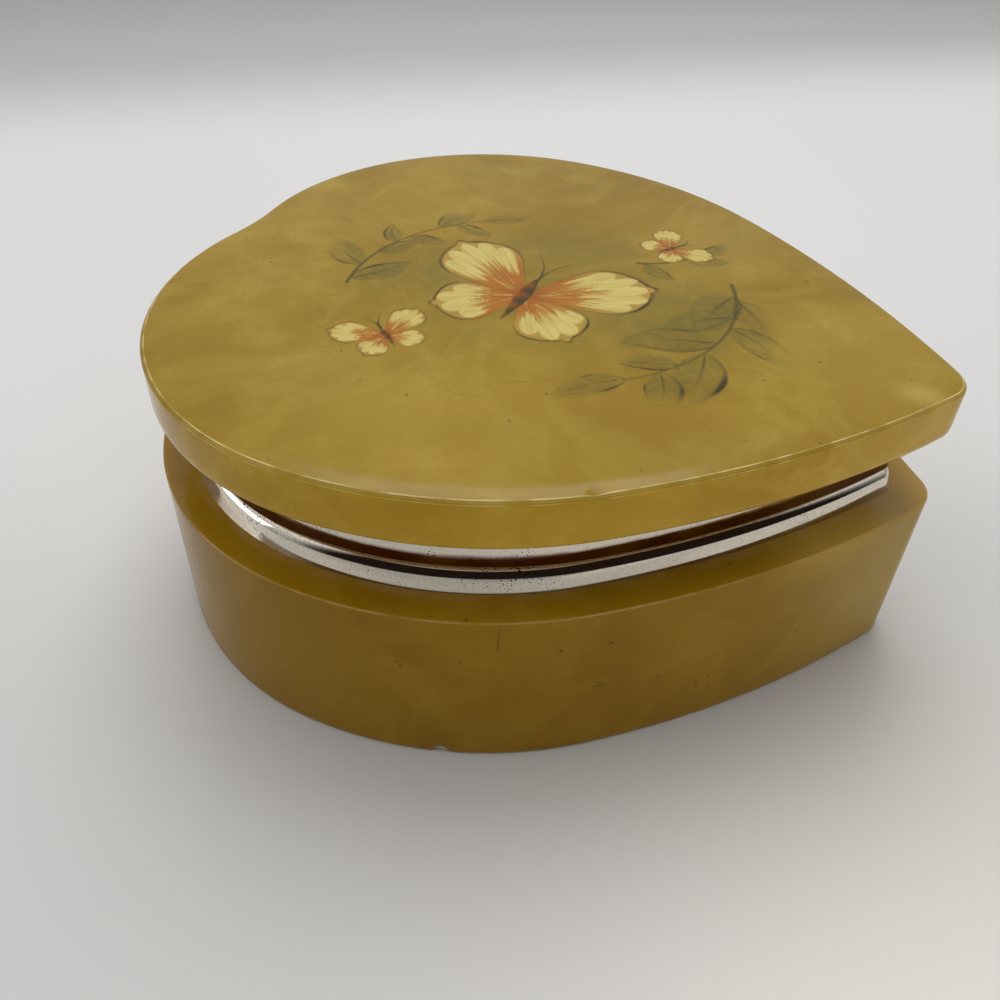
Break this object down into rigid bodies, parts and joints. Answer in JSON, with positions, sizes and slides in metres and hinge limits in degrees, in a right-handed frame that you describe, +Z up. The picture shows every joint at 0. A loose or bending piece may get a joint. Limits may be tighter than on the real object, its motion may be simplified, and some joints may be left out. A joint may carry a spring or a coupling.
{
  "type": "trinket box",
  "caption": "Heart-shaped alabaster trinket box with a painted lid, plated metal bands and a small tube hinge at the notch.",
  "frame": {"origin": "on the flat underside, in the middle of the box seen from above", "axes": "+Z up, -Y towards the heart's tip, +Y towards its notch and the hinge, X along the hinge"},
  "size_m": [0.0968, 0.105, 0.0426],
  "materials": {
    "alabaster": "polished alabaster, honey brown with soft cloudy veins and fine dark specks",
    "painted_alabaster": "polished alabaster, hand-painted with cream and rust butterflies over olive sprigs, under a clear coat",
    "plated_metal": "silver-coloured plating on pressed sheet, mirror polished, tarnished dark red-brown beside the seam and lightly pitted",
    "hinge_metal": "silver-coloured plating, polished, a little dulled",
    "cement": "set plaster cement, hidden inside the bands"
  },
  "bodies": {
    "base": {"base_bowl": "alabaster", "base_rim": "plated_metal", "base_rim_cement": "cement", "hinge_base_knuckles": "hinge_metal", "hinge_pin": "hinge_metal"},
    "lid": {"lid_slab": "painted_alabaster", "lid_rim": "plated_metal", "lid_rim_cement": "cement", "hinge_lid_knuckles": "hinge_metal"}
  },
  "joints": [
    {"name": "lid_hinge", "type": "hinge", "parent": "base", "child": "lid", "pos_m": [0, 0.04944, 0.02788], "axis": [-1, 0, 0], "range_deg": [0, 100]}
  ]
}
